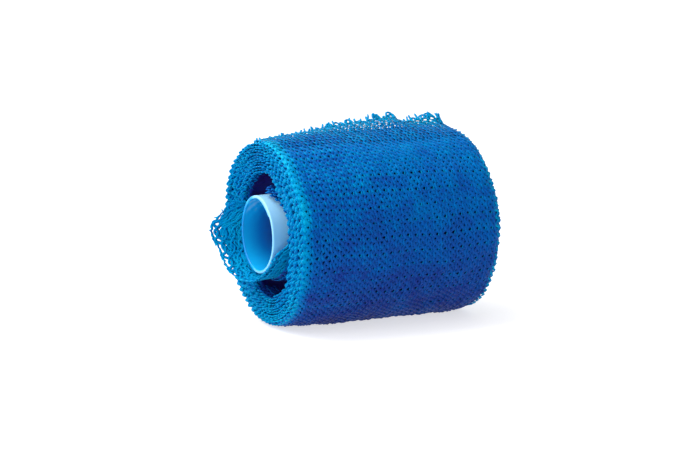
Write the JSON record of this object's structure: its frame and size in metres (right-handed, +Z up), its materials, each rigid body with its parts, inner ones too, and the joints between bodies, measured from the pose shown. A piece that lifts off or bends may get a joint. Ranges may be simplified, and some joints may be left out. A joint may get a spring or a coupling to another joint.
{
  "type": "fiberglass casting tape roll",
  "caption": "Open knitted fibreglass tape wound on a thin plastic core, with its loose ends showing; wetted and wrapped round a limb to set as a rigid cast.",
  "frame": {"origin": "middle of the small flat under the roll, on the surface that it lies on", "axes": "+Z up, +X along the roll's axis away from the open end that shows the core"},
  "size_m": [0.0893, 0.0656, 0.0698],
  "materials": {
    "tape": "open knit of resin-coated glass yarn, semi-gloss",
    "core": "satin, moulded"
  },
  "bodies": {
    "root": {"wound_roll": "tape", "outer_end": "tape", "inner_end": "tape", "core_tube": "core"}
  },
  "joints": []
}
